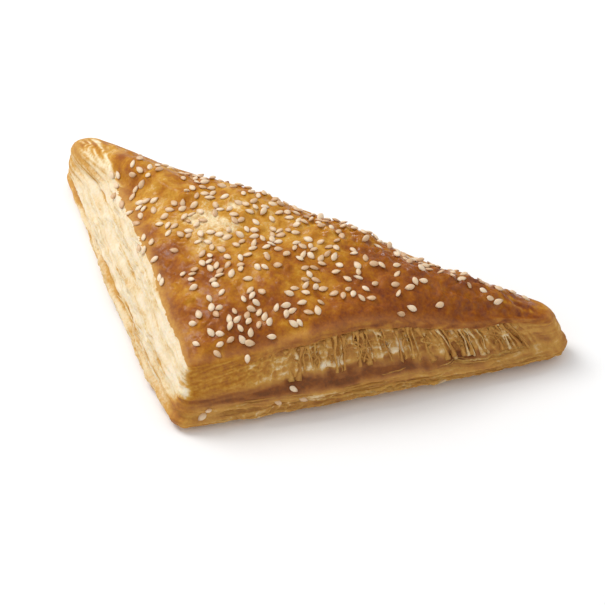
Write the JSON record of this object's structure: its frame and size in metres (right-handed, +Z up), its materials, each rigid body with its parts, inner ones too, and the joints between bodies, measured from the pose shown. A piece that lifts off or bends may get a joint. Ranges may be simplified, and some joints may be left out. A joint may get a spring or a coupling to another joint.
{
  "type": "cheese boreka",
  "caption": "Triangular folded puff pastry with two layered cut edges, a domed glazed top and sesame seeds baked on.",
  "frame": {"origin": "middle of the bounding box of the whole, on the plane of the flat base", "axes": "+X along the fold at the back, towards the right tip, +Y from the front corner towards the fold, +Z up from the flat base"},
  "size_m": [0.1704, 0.0862, 0.0331],
  "materials": {
    "crust": "glazed baked crust, satin"
  },
  "bodies": {
    "root": {"boreka": "crust"}
  },
  "joints": []
}
